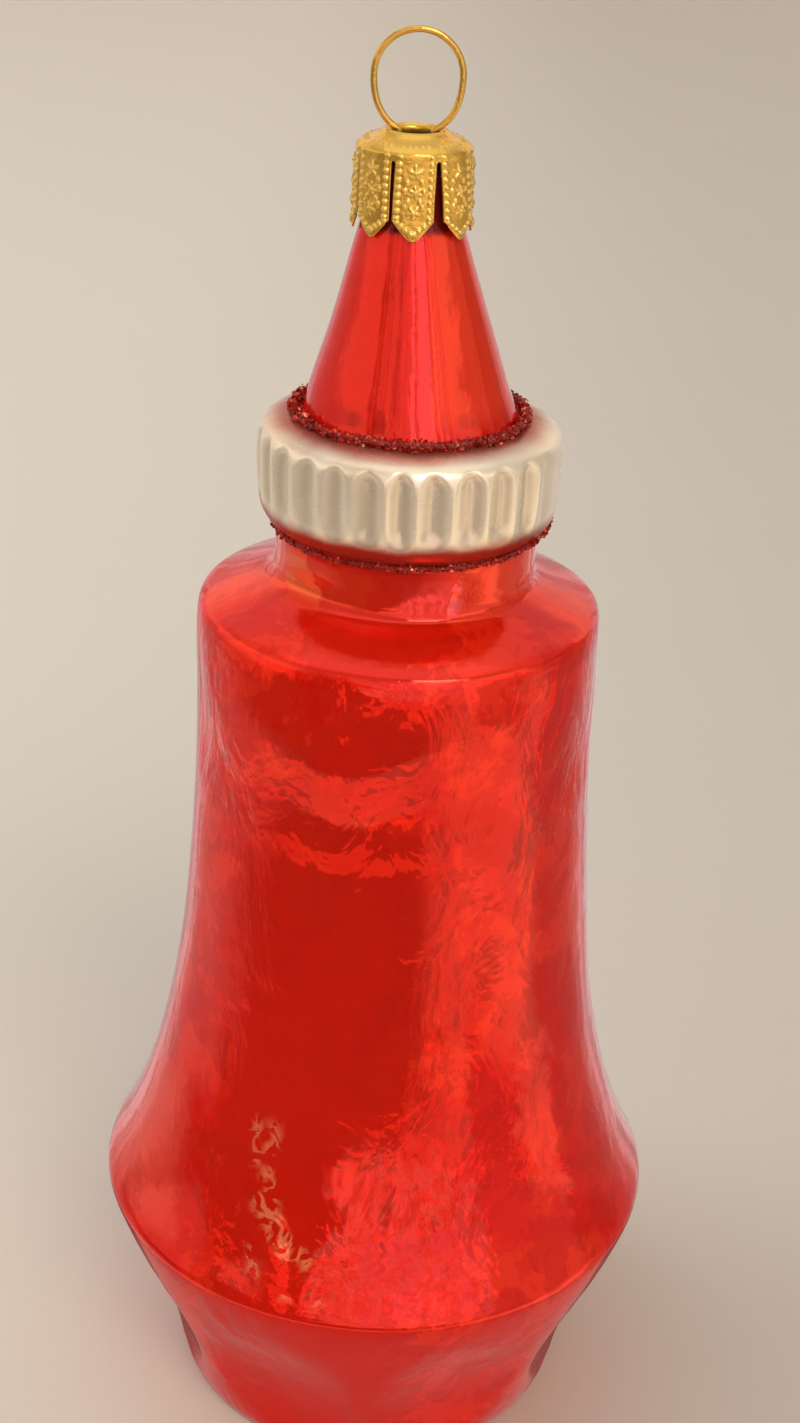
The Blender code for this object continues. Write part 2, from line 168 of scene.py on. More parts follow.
def off_axis(z):
    """How far the middle strays sideways, by smooth steps: right at the collar, then left at the cap."""
    collar = STRAY["collar"] * smoothstep(z, 86.0, 91.0) * smoothstep(z, 107.0, 102.0)
    return collar + STRAY["cap"] * smoothstep(z, 108.0, 122.0)


def turned_grid(radius, angle, z):
    """Points of a turned surface: x is r sin a plus the stray, y is -r cos a, and angle 0 faces the front."""
    z = z + 0.0 * radius
    return np.stack([radius * np.sin(angle) + off_axis(z), -radius * np.cos(angle), z], axis=-1)


def ring_faces(rows, columns):
    """Quads of a grid of rows down the outside, whose last column meets its first."""
    i, j = np.meshgrid(np.arange(rows - 1), np.arange(columns), indexing="ij")
    k = (j + 1) % columns
    above, below = i * columns, (i + 1) * columns
    return np.stack([above + j, below + j, below + k, above + k], axis=-1).reshape(-1, 4)


def fan_faces(pole, first, columns, upwards):
    """Triangles from a pole to a ring of vertices."""
    j = np.arange(columns)
    near, far = (j, (j + 1) % columns) if upwards else ((j + 1) % columns, j)
    return np.stack([np.full(columns, pole), first + near, first + far], axis=-1)


def closed_faces(rows, columns):
    """A grid of rings with a fan on its first row and one on its last, whose two poles follow its points."""
    count = rows * columns
    faces = ring_faces(rows, columns).tolist()
    faces += fan_faces(count, 0, columns, True).tolist()
    faces += fan_faces(count + 1, count - columns, columns, False).tolist()
    return faces


def new_piece(name, points, faces, material, smooth=True):
    """A mesh object at the origin, from points in millimetres."""
    mesh = bpy.data.meshes.new(name)
    mesh.from_pydata((np.asarray(points) * MM).tolist(), [], faces)
    if smooth:
        mesh.shade_smooth()
    mesh.materials.append(material)
    piece = bpy.data.objects.new(name, mesh)
    bpy.context.scene.collection.objects.link(piece)
    return piece


def keep_numbers(piece, name, values):
    """Keeps one number for each vertex, which the material reads by its name."""
    piece.data.attributes.new(name, "FLOAT", "POINT").data.foreach_set("value", values.astype(np.float32))


class Wire:
    """A value that runs through a node tree. Arithmetic on it adds Math nodes."""

    def __init__(self, tree, socket=None):
        """Holds the tree, and the socket that the value comes out of."""
        self.tree = tree
        self.socket = socket

    def node(self, kind, settings, inputs, output=0):
        """Any node: its type, its settings (set first), and the values or links of its sockets."""
        made = self.tree.nodes.new(kind)
        for name, value in settings.items():
            if name == "stops":
                while len(made.color_ramp.elements) < len(value):
                    made.color_ramp.elements.new(1.0)
                for element, (position, colour) in zip(made.color_ramp.elements, value):
                    element.position = position
                    element.color = (*colour, 1.0)
            else:
                setattr(made, name, value)
        for key, value in inputs.items():
            if isinstance(value, Wire):
                self.tree.links.new(value.socket, made.inputs[key])
            elif isinstance(value, tuple) and len(value) == 3 and made.inputs[key].type == "RGBA":
                made.inputs[key].default_value = (*value, 1.0)
            else:
                made.inputs[key].default_value = value
        return Wire(self.tree, made.outputs[output])

    def math(self, operation, a, b=0.0):
        """One Math node on two values."""
        return self.node("ShaderNodeMath", {"operation": operation}, {0: a, 1: b})

    def __add__(self, other):
        """This value plus another."""
        return self.math("ADD", self, other)

    def __radd__(self, other):
        """A number plus this value."""
        return self.math("ADD", other, self)

    def __sub__(self, other):
        """This value less another."""
        return self.math("SUBTRACT", self, other)

    def __rsub__(self, other):
        """A number less this value."""
        return self.math("SUBTRACT", other, self)

    def __mul__(self, other):
        """This value times another."""
        return self.math("MULTIPLY", self, other)

    def __rmul__(self, other):
        """A number times this value."""
        return self.math("MULTIPLY", other, self)

    def between(self, low, high):
        """0 below low, 1 above high, smooth between them. Works with low above high too."""
        return self.node("ShaderNodeMapRange", {"interpolation_type": "SMOOTHSTEP"},
                         {"Value": self, "From Min": low, "From Max": high})

    def within(self, low, high):
        """The same between two places given in millimetres."""
        return self.between(low * MM, high * MM)

    def tint(self, a, b):
        """Colour a where this value is 0 and colour b where it is 1."""
        return self.node("ShaderNodeMix", {"data_type": "RGBA"}, {0: self, 6: a, 7: b}, 2)

    def noise(self, where, scale, detail=2.0, distortion=0.0, roughness=0.5):
        """Noise of a scale given in features per millimetre."""
        return self.node("ShaderNodeTexNoise", {}, {"Vector": where, "Scale": scale / MM, "Detail": detail,
                                                    "Distortion": distortion, "Roughness": roughness})

    def vector(self, operation, inputs):
        """One Vector Math node."""
        return self.node("ShaderNodeVectorMath", {"operation": operation}, inputs)

    def number_kept(self, name):
        """A number that the mesh keeps for each vertex."""
        return self.node("ShaderNodeAttribute", {"attribute_name": name}, {}, 2)


def new_material(name):
    """A material with a Principled shader: (material, shader node, Wire on its tree, Object coordinates)."""
    material = bpy.data.materials.new(name)
    material.use_nodes = True
    shader = material.node_tree.nodes["Principled BSDF"]
    tools = Wire(material.node_tree)
    return material, shader, tools, tools.node("ShaderNodeTexCoord", {}, {}, 3)


def feed(shader, name, value):
    """Links a Wire to a shader's socket, or sets the socket to a number or colour."""
    if isinstance(value, Wire):
        value.tree.links.new(value.socket, shader.inputs[name])
    else:
        shader.inputs[name].default_value = (*value, 1.0) if isinstance(value, tuple) else value


# The lacquer's own reds, then colours of painted light. A brighter neck, orange and pink patches, a dark
# front, a paler left flare, streaks and a brighter right on the nozzle, and pale wisps are painted
# reflections and highlights. The dark throat is partly painted shade, and its hole is painted shade.
LACQUER = {
    "deep": (0.86, 0.012, 0.004), "bright": (0.97, 0.032, 0.009), "patch": (0.66, 0.006, 0.002),
    "neck": (1.0, 0.075, 0.025), "fleck": (0.70, 0.007, 0.003), "painted_amber_reflection": (1.0, 0.2, 0.05),
    "painted_pink_reflection": (1.0, 0.13, 0.15), "thick": (0.76, 0.017, 0.006), "thin": (1.0, 0.095, 0.06),
    "run": (0.56, 0.006, 0.003), "painted_highlight_side": (1.0, 0.07, 0.012), "painted_wisp": (1.0, 0.26, 0.12),
    "throat": (0.20, 0.012, 0.012), "painted_hole_shade": (0.02, 0.012, 0.01),
}
# The groove colour is painted shade in the flutes.
PEARL = {"cream": (0.98, 0.93, 0.74), "pale": (1.0, 0.97, 0.82), "groove": (0.80, 0.74, 0.58),
         "mist_above": (0.46, 0.13, 0.10), "mist_below": (0.40, 0.045, 0.026)}

# Noises: features per millimetre, detail, distortion, and roughness where it isn't 0.5.
NOISE = {
    "ragged": (0.35, 3.0), "mottle": (0.25, 4.0), "cloud": (0.09, 4.0, 0.8, 0.6),
    "patch": (0.16, 6.0, 0.3, 0.62), "fleck": (0.45, 4.0, 0.6, 0.6), "torn": (0.5, 4.0, 0.3, 0.6),
    "stray": (0.13, 6.0, 0.4, 0.62), "run": (1.1, 3.0, 0.4, 0.6), "curl": (0.5, 3.0, 0.6),
    "curl_gap": (0.3, 2.0), "ripple": (0.16, 4.0, 0.5),
}

# Zones of the lacquer, its painted reflections and shade, and the ripples. Each edge has an axis, a share
# of the noise that moves it, the place where the zone has ended and the place where it is full, in
# millimetres.
ZONES = {
    "neck": [("z", 0.0, 87.5, 89.0), ("z", 0.0, 94.5, 93.5)],
    "neck_front": [("z", 0.0, 88.4, 89.0), ("y", 0.0, 0.0, -2.0)],
    "painted_amber_reflection": [("x", 1.0, -10.4, -9.6), ("x", -1.0, -2.2, -2.9), ("z", 0.4, 92.3, 91.8)],
    "painted_pink_reflection": [("x", 1.0, -0.4, 0.2), ("x", -1.0, 5.4, 4.8), ("z", 0.4, 91.9, 91.5)],
    "middle": [("x", 1.0, 6.1, 5.7), ("z", 1.0, 71.3, 70.9), ("x", -0.7, -15.0, -14.6)],
    "below_shoulder": [("x", 1.0, 6.1, 5.7), ("x", -1.0, -8.2, -7.8), ("z", -0.6, 77.4, 77.8)],
    "front": [("y", 0.0, 4.0, -4.0)],
    "left_flare": [("x", 0.3, -17.6, -20.0), ("z", 0.0, 24.0, 26.5), ("z", 0.3, 41.0, 34.0)],
    "nozzle": [("z", 0.0, 103.5, 106.0)],
    "nozzle_right": [("x", 0.0, -2.5, -1.0)],
    "curls": [("z", 0.0, 41.5, 39.0), ("z", 0.0, 24.5, 26.0), ("x", 0.0, -12.0, -10.8),
              ("y", 0.0, -2.0, -4.0)],
    "pearl": [("z", 0.5, 93.3, 93.6), ("out", 0.3, 10.0, 10.25)],
    "mist_below": [("z", 1.0, 96.1, 94.6)],
    "mist_above": [("out", 1.0, 13.4, 10.8), ("z", 0.0, 101.0, 102.2)],
    "throat": [("z", 0.5, 119.4, 120.2)],
    "painted_hole_shade": [("out", 0.0, 3.5, 3.2)],
    "below_neck": [("z", 0.0, 90.0, 84.0)],
    "right_ripples": [("x", 0.0, 0.0, 3.0), ("x", 0.0, 15.0, 10.0), ("z", 0.0, 86.0, 70.0)],
    "left_ripples": [("x", 0.0, -7.0, -10.0), ("x", 0.0, -17.0, -14.0), ("z", 0.0, 90.0, 78.0)],
    "upper_ripples": [("z", 0.0, 66.0, 70.0), ("z", 0.0, 86.0, 83.0)],
}


def axes_of(tools, where):
    """Places on a piece in metres, by name: x, y, z, and out, the distance from the upright axis."""
    axes = {name: tools.node("ShaderNodeSeparateXYZ", {}, {0: where}, k) for k, name in enumerate("xyz")}
    axes["out"] = tools.math("SQRT", axes["x"] * axes["x"] + axes["y"] * axes["y"])
    return axes


def zone(axes, name, noise=0.0):
    """1 inside a zone and 0 outside: the product of its soft edges, each moved by its share of a noise."""
    edges = []
    for axis, share, ended, full in ZONES[name]:
        place = axes[axis] + noise * share if share else axes[axis]
        edges.append(place.within(ended, full))
    return math.prod(edges[1:], start=edges[0])


def red_lacquer(tools, where, axes, cloud, drift):
    """Colour of the lacquer: clouds of two reds, then zones and noises tinted over them one by one, most of
    the zones painted reflections, painted highlights and painted shade.
    """
    red = cloud.tint(LACQUER["deep"], LACQUER["bright"])
    red = (tools.noise(where, *NOISE["patch"]).between(0.50, 0.52) * 0.45).tint(red, LACQUER["patch"])
    # The neck painted a brighter orange all round: painted reflection.
    red = (zone(axes, "neck") * 0.9).tint(red, LACQUER["neck"])
    red = (tools.noise(where, *NOISE["fleck"]).between(0.56, 0.58) * 0.4).tint(red, LACQUER["fleck"])

    # Orange and pink patches with torn edges on the neck's front: painted reflections of the room's light.
    torn = (tools.noise(where, *NOISE["torn"]) - 0.5) * (5.0 * MM)
    neck_front = zone(axes, "neck_front")
    red = (zone(axes, "painted_amber_reflection", torn) * neck_front * 0.6).tint(red, LACQUER["painted_amber_reflection"])
    red = (zone(axes, "painted_pink_reflection", torn) * neck_front * 0.8).tint(red, LACQUER["painted_pink_reflection"])

    # The body's front painted darker with torn edges: painted reflection of the dark room in front. The paler
    # patch on the left flare: painted reflection of light.
    stray = (tools.noise(where, *NOISE["stray"]) - 0.5) * (26.0 * MM)
    front = zone(axes, "front")
    thick = tools.math("MAXIMUM", zone(axes, "middle", stray), zone(axes, "below_shoulder", stray)) * front
    red = (thick * 0.8).tint(red, LACQUER["thick"])
    red = (zone(axes, "left_flare", stray) * front * 0.6).tint(red, LACQUER["thin"])
    red = nozzle_painted_streaks(tools, axes, red)
    red = wisps(tools, where, axes, red)

    # Under the cap the glass is painted dark maroon: partly the bare glass's own colour, partly painted shade
    # of the cap. The hole at its top is painted near black: painted shade of the hollow inside.
    throat = zone(axes, "throat", drift)
    red = throat.tint(red, LACQUER["throat"])
    return (zone(axes, "painted_hole_shade") * throat).tint(red, LACQUER["painted_hole_shade"])


def nozzle_painted_streaks(tools, axes, red):
    """Painted streaks of reflection down the nozzle's right, drawn like runs of lacquer: noise of the
    direction from the axis, drawn out along z. Its right side gets a painted highlight.
    """
    nozzle = zone(axes, "nozzle")
    outwards = tools.node("ShaderNodeCombineXYZ", {}, {0: axes["x"], 1: axes["y"]})
    outwards = tools.vector("SCALE", {0: tools.vector("NORMALIZE", {0: outwards}), "Scale": 4.5 * MM})
    upwards = tools.node("ShaderNodeCombineXYZ", {}, {2: axes["z"] * 0.06})
    place = tools.vector("ADD", {0: outwards, 1: upwards})
    # Darker streaks drawn like runs of lacquer: painted streaks of reflection.
    painted_streaks = tools.noise(place, *NOISE["run"]).between(0.50, 0.58) * nozzle
    red = (painted_streaks * zone(axes, "nozzle_right") * 0.6).tint(red, LACQUER["run"])
    # The nozzle's right side painted brighter orange: painted highlight.
    painted_highlight_side = nozzle * (axes["x"] - axes["out"] * 0.2).within(0.0, 0.6)
    return (painted_highlight_side * 0.5).tint(red, LACQUER["painted_highlight_side"])


def wisps(tools, where, axes, red):
    """Pale wisps at the lower left, painted reflections: lines where a noise crosses its middle, in a zone
    that slants.
    """
    slant = (axes["z"] - 33.0 * MM).within(0.0, -6.0) * (-4.5 * MM)
    place = zone(axes, "curls") * (axes["x"] + slant).within(-8.0, -9.5)
    curls = tools.math("ABSOLUTE", tools.noise(where, *NOISE["curl"]) - 0.5).between(0.08, 0.025)
    gaps = tools.noise(where, *NOISE["curl_gap"]).between(0.42, 0.58)
    return (curls * place * gaps * 0.85).tint(red, LACQUER["painted_wisp"])


def sprayed_pearl(tools, where, axes, drift):
    """Colour of the pearl: mottled cream, greyer in the flutes as painted shade, with a red mist at its top
    and its bottom.
    """
    cream = tools.noise(where, *NOISE["mottle"]).between(0.35, 0.7).tint(PEARL["cream"], PEARL["pale"])
    # Greyer in the flutes: painted shade.
    cream = tools.number_kept("groove").between(0.1, 0.7).tint(cream, PEARL["groove"])
    cream = zone(axes, "mist_above", drift).tint(cream, PEARL["mist_above"])
    return zone(axes, "mist_below", drift).tint(cream, PEARL["mist_below"])


def hand_blown_ripples(tools, where, axes, pearl):
    """Bump of the glass: noise drawn out along z, stronger in three zones of the side, none on the pearl."""
    drawn_out = tools.node("ShaderNodeMapping", {}, {"Vector": where, "Scale": (1.0, 1.0, 0.6)})
    strength = zone(axes, "below_neck") * 0.7 + zone(axes, "nozzle") * 0.3 + 0.12
    stronger = zone(axes, "right_ripples") * 1.6 + zone(axes, "left_ripples") * 1.4
    stronger = stronger + zone(axes, "upper_ripples") * 1.5 + 1.0
    height = tools.noise(drawn_out, *NOISE["ripple"]) * (strength * stronger) * (1.0 - pearl)
    return tools.node("ShaderNodeBump", {}, {"Strength": 1.0, "Distance": 0.42 * MM, "Height": height})


def lacquered_glass():
    """Red lacquer over silver and a satin pearl collar: part mirror, part colour, under a clear coat."""
    material, shader, tools, where = new_material("red_lacquer_and_pearl")
    axes = axes_of(tools, where)
    drift = (tools.noise(where, *NOISE["ragged"]) - 0.5) * (0.9 * MM)
    pearl = zone(axes, "pearl", drift)
    cloud = tools.noise(where, *NOISE["cloud"]).between(0.42, 0.58)
    red = red_lacquer(tools, where, axes, cloud, drift)
    feed(shader, "Base Color", pearl.tint(red, sprayed_pearl(tools, where, axes, drift)))
    feed(shader, "Metallic", cloud * 0.06 + 0.36 + pearl * 0.12)
    feed(shader, "Roughness", pearl * 0.22 + (cloud * 0.03 + 0.035))
    feed(shader, "Specular IOR Level", 0.1)
    feed(shader, "Coat Weight", 0.6 - pearl * 0.6)
    feed(shader, "Coat Roughness", 0.04)
    feed(shader, "Coat IOR", 1.48)
    feed(shader, "Normal", hand_blown_ripples(tools, where, axes, pearl))
    return material


side_z = np.linspace(SIDE["high_z"], SIDE["low_z"], SIDE["points"])
side_outline = [(float(flared_side(z)), float(z), SIDE["blur"]) for z in side_z]
outline = THROAT + CONE + COLLAR + NECK_AND_SHOULDER + side_outline + CREST_AND_FOOT

rows = thinned(softened(outline), GLASS_ROWS)[1:-1]
ring_z = rows[:, 1:]
ring_angle = np.arange(GLASS_COLUMNS)[None, :] * math.tau / GLASS_COLUMNS
flutes = collar_flutes(ring_angle, ring_z)
ring_radius = rows[:, :1] - foot_flutes(ring_angle, ring_z) - flutes
ring_radius = ring_radius + waviness(ring_angle, ring_z) * smoothstep(rows[:, :1], 4.5, 11.0)
glass_points = turned_grid(ring_radius, ring_angle, ring_z).reshape(-1, 3)
poles = np.array([[0.0, 0.0, outline[0][1]], [0.0, 0.0, outline[-1][1]]])
glass_faces = closed_faces(len(rows), GLASS_COLUMNS)
glass = new_piece("blown_glass", np.concatenate([glass_points, poles]), glass_faces, lacquered_glass())
keep_numbers(glass, "groove", np.r_[flutes.reshape(-1) / RIB["depth"], 0.0, 0.0])
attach(glass, "root")
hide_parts("glass_bottle")

# The glitter: dark red flakes strewn on a hand-drawn line of glue where the nozzle meets the
# collar, and on a thinner one under the collar. Each line is a craggy core with thousands of
# small closed hexagonal flakes lying on it at all angles.

GLITTER_LINES = {
    "glitter_upper": {"radius": 10.3, "z": 103.5, "thick": 0.34, "flakes": 2200, "seed": 11, "rise": 0.0},
    "glitter_lower": {"radius": 11.95, "z": 93.1, "thick": 0.24, "flakes": 1600, "seed": 23, "rise": 0.8},
}
GLUE_WAVES = {
    "sway": [(0.16, 3.0, 0.0, 0.4), (0.13, 8.0, 0.0, 1.0), (0.1, 19.0, 0.0, 0.0)],
    "lift": [(0.12, 5.0, 0.0, 2.0), (0.1, 13.0, 0.0, 0.3)],
    "swell": [(0.14, 6.0, 0.0, 1.7), (0.12, 17.0, 0.0, 0.8)],
}
FLAKE = {"smallest": 0.11, "largest": 0.25, "corners": 6, "peak": 0.22, "spread": 0.24}
CORE_COLUMNS, CORE_SIDES = 720, 14
FLAKE_SHADES = [(0.0, (0.13, 0.009, 0.006)), (0.35, (0.36, 0.022, 0.014)), (0.7, (0.70, 0.07, 0.045)),
                (1.0, (0.98, 0.42, 0.30))]


def on_glue(glue, angle, around, share):
    """Points of a tube round the glue line, from the angles along and around it and a share of its thickness.

    The line sways, lifts and swells by sine waves that are shares of its thickness, and its right may rise.
    """
    sway, lift, swell = (waves(GLUE_WAVES[name], angle) for name in ("sway", "lift", "swell"))
    rise = glue["rise"] * smoothstep(np.sin(angle), 0.55, 1.0)
    reach = share * (1.0 + swell) * glue["thick"]
    out = glue["radius"] + sway * glue["thick"] + rise + reach * np.cos(around)
    return turned_grid(out, angle, glue["z"] + lift * glue["thick"] + rise + reach * np.sin(around))


def random_turns(draw, count):
    """Evenly spread rotation matrices, from random unit quaternions."""
    q = draw.normal(size=(count, 4))
    w, x, y, z = (q / np.linalg.norm(q, axis=1, keepdims=True)).T
    turns = np.stack([1 - 2 * (y * y + z * z), 2 * (x * y - w * z), 2 * (x * z + w * y),
                      2 * (x * y + w * z), 1 - 2 * (x * x + z * z), 2 * (y * z - w * x),
                      2 * (x * z - w * y), 2 * (y * z + w * x), 1 - 2 * (x * x + y * y)], axis=-1)
    return turns.reshape(-1, 3, 3)


def flake_cloud(draw, middles):
    """Hexagonal flakes: six rim corners and two low peaks each, scaled and turned at random."""
    k = np.arange(FLAKE["corners"])
    following = (k + 1) % FLAKE["corners"]
    turn = k * math.tau / FLAKE["corners"]
    rim = np.stack([np.cos(turn), np.sin(turn), 0 * turn], axis=1)
    shape = np.concatenate([rim, [[0, 0, FLAKE["peak"]], [0, 0, -FLAKE["peak"]]]])
    size = draw.uniform(FLAKE["smallest"], FLAKE["largest"], size=(len(middles), 1, 1))
    points = np.einsum("nij,kj->nki", random_turns(draw, len(middles)), shape) * size + middles[:, None, :]
    top, bottom = np.full_like(k, len(rim)), np.full_like(k, len(rim) + 1)
    sides = np.concatenate([np.stack([k, following, top], axis=1), np.stack([following, k, bottom], axis=1)])
    faces = sides[None] + len(shape) * np.arange(len(middles))[:, None, None]
    return points.reshape(-1, 3), faces.reshape(-1, 3)


def glue_core(draw, glue):
    """The craggy core: a ring tube round the line whose thickness changes at random from point to point."""
    along = np.arange(CORE_COLUMNS)[None, :] * math.tau / CORE_COLUMNS
    section = -np.arange(CORE_SIDES)[:, None] * math.tau / CORE_SIDES
    crags = 0.78 + 0.2 * draw.random((CORE_SIDES, CORE_COLUMNS))
    first = np.arange(CORE_COLUMNS)
    last = (CORE_SIDES - 1) * CORE_COLUMNS + first
    closing = np.stack([last, first, np.roll(first, -1), np.roll(last, -1)], axis=1)
    points = on_glue(glue, along + 0 * section, section + 0 * along, crags).reshape(-1, 3)
    return points, ring_faces(CORE_SIDES, CORE_COLUMNS).tolist() + closing.tolist()


def glitter_finish():
    """Dark red foil flakes: each has its own shade, read from the mesh, and shines like metal."""
    material, shader, tools, where = new_material("dark_red_glitter")
    shade = tools.number_kept("shade")
    feed(shader, "Base Color", tools.node("ShaderNodeValToRGB", {"stops": FLAKE_SHADES}, {0: shade}))
    feed(shader, "Metallic", shade.between(0.2, 0.6) * 0.8)
    feed(shader, "Roughness", tools.noise(where, 3.0).between(0.3, 0.7) * 0.2 + 0.22)
    return material


glitter_material = glitter_finish()
for name, glue in GLITTER_LINES.items():
    draw = np.random.default_rng(glue["seed"])
    core, core_faces = glue_core(draw, glue)
    share = draw.normal(1.0, FLAKE["spread"], glue["flakes"])
    along = draw.uniform(0, math.tau, glue["flakes"])
    around = draw.uniform(0, math.tau, glue["flakes"])
    flakes, flake_faces = flake_cloud(draw, on_glue(glue, along, around, share))
    faces = core_faces + (flake_faces + len(core)).tolist()
    ring = new_piece(name + "_flakes", np.concatenate([core, flakes]), faces, glitter_material, smooth=False)
    core_shades = 0.3 * draw.random(len(core))
    flake_shades = np.repeat(draw.beta(1.6, 1.8, glue["flakes"]), FLAKE["corners"] + 2)
    keep_numbers(ring, "shade", np.concatenate([core_shades, flake_shades]))
    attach(ring, "root")
    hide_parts(name)

# The crown cap: thin gold lacquered metal, stamped with beads and rosettes, slit into eight
# pointed tongues and pressed over the open end of the nozzle. Each tongue and its share of the
# crown is one grid; the grids are joined along the crown and given the metal's thickness.

CAP = {"tongues": 8, "wall": 0.2, "radius": 4.92, "skirt": 5.05, "turn": 0.045,
       "edge_z": 125.95, "slot_top": 125.85, "shoulder": 120.95, "tip": 119.35, "tip_half_width": 0.12}
CROWN_OUTLINE = [(2.12, 126.9, 0.05), (2.13, 127.4, 0.08), (2.45, 127.72, 0.1), (2.85, 127.6, 0.12),
                 (3.05, 127.3, 0.12), (4.4, 126.82, 0.22), (4.93, 126.42, 0.15), (CAP["radius"], 126.1, 0.1),
                 (CAP["radius"], CAP["edge_z"], 0.1)]
TONGUE_COLUMNS, CROWN_ROWS, TONGUE_ROWS = 46, 30, 100
FULL_HALF_WIDTH = CAP["radius"] * math.pi / CAP["tongues"]
BEAD = {"radius": 0.24, "height": 0.21, "pitch": 0.63, "inset": 0.56, "top_z": 126.25, "on_point": 4}
CROWN_BEAD = {"radius": 0.2, "height": 0.11, "ring": 4.12, "across": (-1.28, -0.64, 0.0, 0.64, 1.28)}
FLOWERS = [{"middle": (0.0, 124.95), "petals": 5, "reach": 0.72, "turn": 0.0},
           {"middle": (0.1, 123.35), "petals": 6, "reach": 0.6, "turn": 1.0},
           {"middle": (0.0, 121.75), "petals": 5, "reach": 0.62, "turn": math.pi}]
FLOWER = {"dome": 0.19, "bead": 0.09, "bead_radius": 0.16}
LEAF = {"radius": 0.2, "height": 0.15, "squeeze": 0.7,
        "places": ((0.62, 124.15), (0.8, 123.45), (0.5, 122.6), (0.72, 122.2))}
RIM = {"height": 0.05, "inner": 0.34, "outer": 0.22}
BENT = {"front_swing": -0.12, "tongue": 1, "swing": 0.4, "splay": 0.25}
GOLD, HIGHLIGHT_GOLD = (0.92, 0.60, 0.11), (1.0, 0.78, 0.22)


def tongue_half_width(z, slot):
    """Half of a tongue's width: the full pitch above the slot, straight sides, then a bowed taper."""
    cut = FULL_HALF_WIDTH - slot * (1.0 - smoothstep(z, CAP["slot_top"] - 0.12, CAP["slot_top"] + 0.02))
    point = np.clip((z - CAP["tip"]) / (CAP["shoulder"] - CAP["tip"]), 0.0, 1.0)
    tapered = CAP["tip_half_width"] + (1.0 - CAP["tip_half_width"]) * point ** 0.85
    return cut * np.where(z < CAP["shoulder"], tapered, 1.0)


def domes(across, z, centres, radius, height):
    """Height of round beads pressed into the sheet: half a sphere, flattened, at each centre (across, z)."""
    gap = np.hypot(across[..., None] - centres[:, 0], z[..., None] - centres[:, 1]) / radius
    return height * np.sqrt(np.clip(1.0 - gap ** 2, 0.0, None)).max(axis=-1)


def border_beads():
    """Centres of the beads: evenly down a tongue's two sides, then along straight lines to its point."""
    edge = FULL_HALF_WIDTH - BEAD["inset"]
    down = np.arange(BEAD["top_z"], CAP["shoulder"] + 0.2, -BEAD["pitch"])
    straight = np.stack([np.full_like(down, -edge), down], axis=1)
    t = np.linspace(0.0, 1.0, BEAD["on_point"])[:, None]
    slope = (1 - t) * [[-edge, CAP["shoulder"] - 0.05]] + t * [[-0.12, CAP["tip"] + 0.62]]
    half = np.concatenate([straight, slope])
    return np.concatenate([half, half * [-1.0, 1.0]])


def flower(across, z, middle, petals, reach, turn):
    """A stamped flower: a dome whose outline swings with the cosine of the angle, and a round bead on top."""
    far = np.hypot(across - middle[0], z - middle[1])
    edge = reach * (0.6 + 0.4 * np.cos(petals * np.arctan2(across - middle[0], z - middle[1]) + turn))
    dome = FLOWER["dome"] * np.sqrt(np.clip(1.0 - (far / edge) ** 2, 0.0, None))
    return dome + FLOWER["bead"] * np.sqrt(np.clip(1.0 - (far / FLOWER["bead_radius"]) ** 2, 0.0, None))


def stamped_relief(across, z):
    """Relief of a tongue: the highest of its beads, flowers and leaves, plus a raised rim along its sides."""
    beads = domes(across, z, border_beads(), BEAD["radius"], BEAD["height"])
    flowers = [flower(across, z, **each) for each in FLOWERS]
    leaf_places = np.array([[sign * aside, height] for sign in (-1, 1) for aside, height in LEAF["places"]])
    squeezed = leaf_places * [1.0, LEAF["squeeze"]]
    leaves = domes(across, z * LEAF["squeeze"], squeezed, LEAF["radius"], LEAF["height"])
    rim = smoothstep(np.abs(across), FULL_HALF_WIDTH - RIM["inner"], FULL_HALF_WIDTH - RIM["outer"])
    return np.maximum.reduce([beads, leaves] + flowers) + RIM["height"] * rim * smoothstep(z, 126.0, 125.6)


def gold_finish(name, roughness, gold, highlight_gold=None):
    """Gold lacquered metal with faint tarnish and grain from noise; paler where a sheet is stamped out, a
    painted highlight, and darker between, painted shade.
    """
    material, shader, tools, where = new_material(name)
    tarnish = tools.noise(where, 0.8, 4.0).between(0.35, 0.75)
    if highlight_gold:
        # Raised relief painted paler and the flat sheet between darker: painted highlight and painted shade.
        stamped = tools.number_kept("relief").between(0.0, 0.6).tint(gold, highlight_gold)
        feed(shader, "Base Color", (tarnish * 0.35).tint(stamped, gold))
    else:
        feed(shader, "Base Color", gold)
    feed(shader, "Metallic", 0.7)
    feed(shader, "Roughness", tarnish * 0.12 + roughness)
    grain = {"Strength": 1.0, "Distance": 0.07 * MM, "Height": tools.noise(where, 1.5, 3.0)}
    feed(shader, "Normal", tools.node("ShaderNodeBump", {}, grain))
    return material


crown = thinned(softened(CROWN_OUTLINE, 0.02), CROWN_ROWS)
skirt_z = np.linspace(CAP["edge_z"], CAP["tip"], TONGUE_ROWS + 1)[1:]
flare = (CAP["edge_z"] - skirt_z) / (CAP["edge_z"] - CAP["tip"])
cap_r = np.r_[crown[:, 0], CAP["radius"] + (CAP["skirt"] - CAP["radius"]) * flare][:, None]
cap_z = np.r_[crown[:, 1], skirt_z][:, None]
u = np.linspace(-1.0, 1.0, TONGUE_COLUMNS + 1)[None, :]
grid = np.arange(len(cap_r) * (TONGUE_COLUMNS + 1)).reshape(len(cap_r), -1)
quads = np.stack([grid[:-1, :-1], grid[1:, :-1], grid[1:, 1:], grid[:-1, 1:]], axis=-1).reshape(-1, 4)
crown_bead_places = np.array([[x, CROWN_BEAD["ring"]] for x in CROWN_BEAD["across"]])


